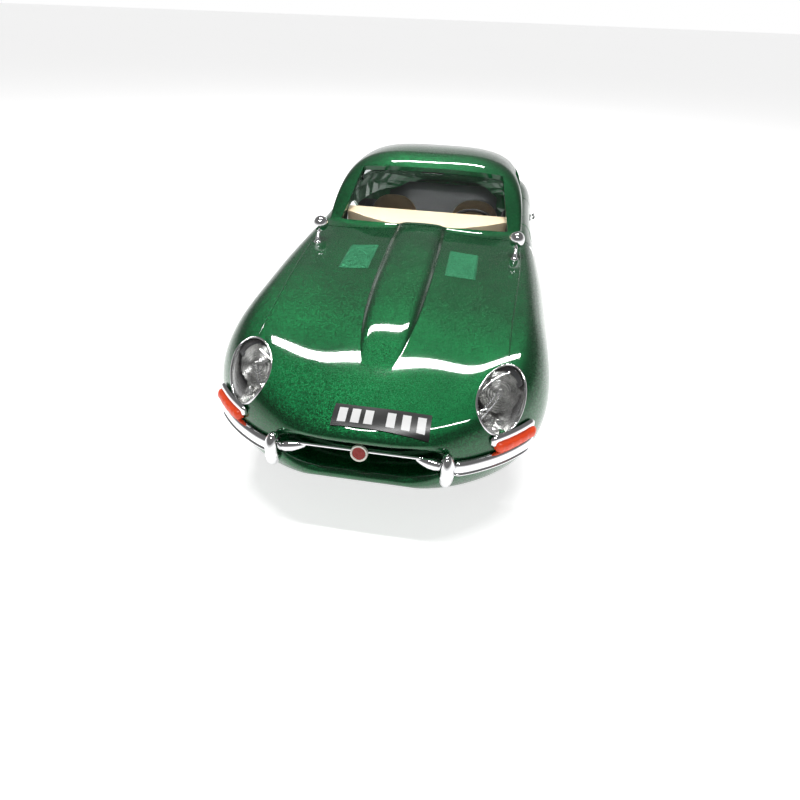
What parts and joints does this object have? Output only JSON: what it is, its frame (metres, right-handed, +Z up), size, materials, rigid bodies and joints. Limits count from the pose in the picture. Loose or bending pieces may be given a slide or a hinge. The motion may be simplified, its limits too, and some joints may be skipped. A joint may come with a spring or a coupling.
{
  "type": "diecast model car",
  "caption": "Scale model of a long-nosed two-seat coupe with opening bonnet and doors, steered front wheels and a furnished cabin.",
  "frame": {"origin": "middle of the bounding box, on the ground under the tyres", "axes": "+Y towards the tail, nose towards -Y, +X to the car's left, +Z up"},
  "size_m": [0.0922, 0.2474, 0.0678],
  "materials": {
    "green_paint": "metallic gloss",
    "black_metal": "satin",
    "steel": "brushed",
    "black_plastic": "matt",
    "cream_plastic": "matt",
    "tan_plastic": "matt",
    "clear": "clear",
    "chrome": "bright",
    "red_plastic": "gloss",
    "orange_plastic": "gloss",
    "plate_black": "gloss",
    "engine_grey": "cast",
    "polished": "polished",
    "wood": "gloss",
    "tyre": "matt"
  },
  "bodies": {
    "body": {"body_shell": "green_paint", "chassis_plate": "black_metal", "chassis_screw_front": "steel", "chassis_screw_rear": "steel", "front_crossmember": "black_metal", "bonnet_hinge_pin": "steel", "interior_tub": "black_plastic", "dashboard": "cream_plastic", "seat_left": "tan_plastic", "seat_right": "tan_plastic", "steering_column": "black_plastic", "windscreen_glass": "clear", "rear_window_glass": "clear", "quarter_glass_left": "clear", "quarter_glass_right": "clear", "rear_bumper_left": "chrome", "rear_bumper_right": "chrome", "tail_lamp_left": "red_plastic", "tail_lamp_right": "red_plastic", "exhaust_pipes": "chrome", "rear_plate": "plate_black", "engine_block": "engine_grey", "cam_cover_left": "polished", "cam_cover_right": "polished", "carburettors": "engine_grey", "radiator": "black_plastic", "rear_view_mirror": "black_plastic"},
    "bonnet": {"bonnet": "green_paint", "headlamp_bowl_left": "chrome", "headlamp_bowl_right": "chrome", "headlamp_lens_left": "clear", "headlamp_lens_right": "clear", "front_bumper_left": "chrome", "front_bumper_right": "chrome", "indicator_left": "orange_plastic", "indicator_right": "orange_plastic", "grille_bar": "chrome", "badge": "red_plastic", "front_plate": "plate_black", "wing_mirror_left": "chrome", "wing_mirror_right": "chrome"},
    "door_left": {"door_left": "green_paint", "door_card_left": "black_plastic", "door_handle_left": "chrome"},
    "door_right": {"door_right": "green_paint", "door_card_right": "black_plastic", "door_handle_right": "chrome"},
    "knuckle_left": {"knuckle_left": "black_metal"},
    "knuckle_right": {"knuckle_right": "black_metal"},
    "track_rod": {"track_rod": "black_metal"},
    "steering_wheel": {"steering_wheel": "wood"},
    "wheel_front_left": {"tyre_front_left": "tyre", "rim_front_left": "chrome"},
    "wheel_front_right": {"tyre_front_right": "tyre", "rim_front_right": "chrome"},
    "rear_wheels": {"rear_axle": "steel", "tyre_rear_left": "tyre", "rim_rear_left": "chrome", "tyre_rear_right": "tyre", "rim_rear_right": "chrome"}
  },
  "joints": [
    {"name": "bonnet_hinge", "type": "hinge", "parent": "body", "child": "bonnet", "pos_m": [0, -0.10509, 0.01669], "axis": [1, 0, 0], "range_deg": [0, 50]},
    {"name": "door_left_hinge", "type": "hinge", "parent": "body", "child": "door_left", "pos_m": [0.04524, -0.00597, 0.03003], "axis": [0, 0, -1], "range_deg": [0, 55]},
    {"name": "door_right_hinge", "type": "hinge", "parent": "body", "child": "door_right", "pos_m": [-0.04524, -0.00597, 0.03003], "axis": [0, 0, 1], "range_deg": [0, 55]},
    {"name": "steer_left", "type": "hinge", "parent": "body", "child": "knuckle_left", "pos_m": [0.0265, -0.0762, 0.0185], "axis": [0, 0, 1], "range_deg": [-15, 15]},
    {"name": "steer_right", "type": "hinge", "parent": "body", "child": "knuckle_right", "pos_m": [-0.0265, -0.0762, 0.0185], "axis": [0, 0, 1], "range_deg": [-15, 15]},
    {"name": "track_rod_slide", "type": "slide", "parent": "body", "child": "track_rod", "axis": [1, 0, 0], "range_m": [-0.00156, 0.00156]},
    {"name": "steering_wheel_turn", "type": "hinge", "parent": "body", "child": "steering_wheel", "pos_m": [0.01806, 0.01058, 0.04127], "axis": [0, 0.9326, 0.361], "range_deg": [-45, 45]},
    {"name": "front_left_spin", "type": "hinge", "parent": "knuckle_left", "child": "wheel_front_left", "pos_m": [0.03529, -0.0762, 0.0185], "axis": [1, 0, 0], "continuous": true},
    {"name": "front_right_spin", "type": "hinge", "parent": "knuckle_right", "child": "wheel_front_right", "pos_m": [-0.03529, -0.0762, 0.0185], "axis": [1, 0, 0], "continuous": true},
    {"name": "rear_axle_spin", "type": "hinge", "parent": "body", "child": "rear_wheels", "pos_m": [0, 0.05925, 0.0185], "axis": [1, 0, 0], "continuous": true}
  ],
  "couplings": [
    {"joint": "steer_right", "follows": "steer_left", "ratio": 1},
    {"joint": "track_rod_slide", "follows": "steer_left", "m_per_rad": 0.00594},
    {"joint": "steering_wheel_turn", "follows": "steer_left", "ratio": 3}
  ]
}
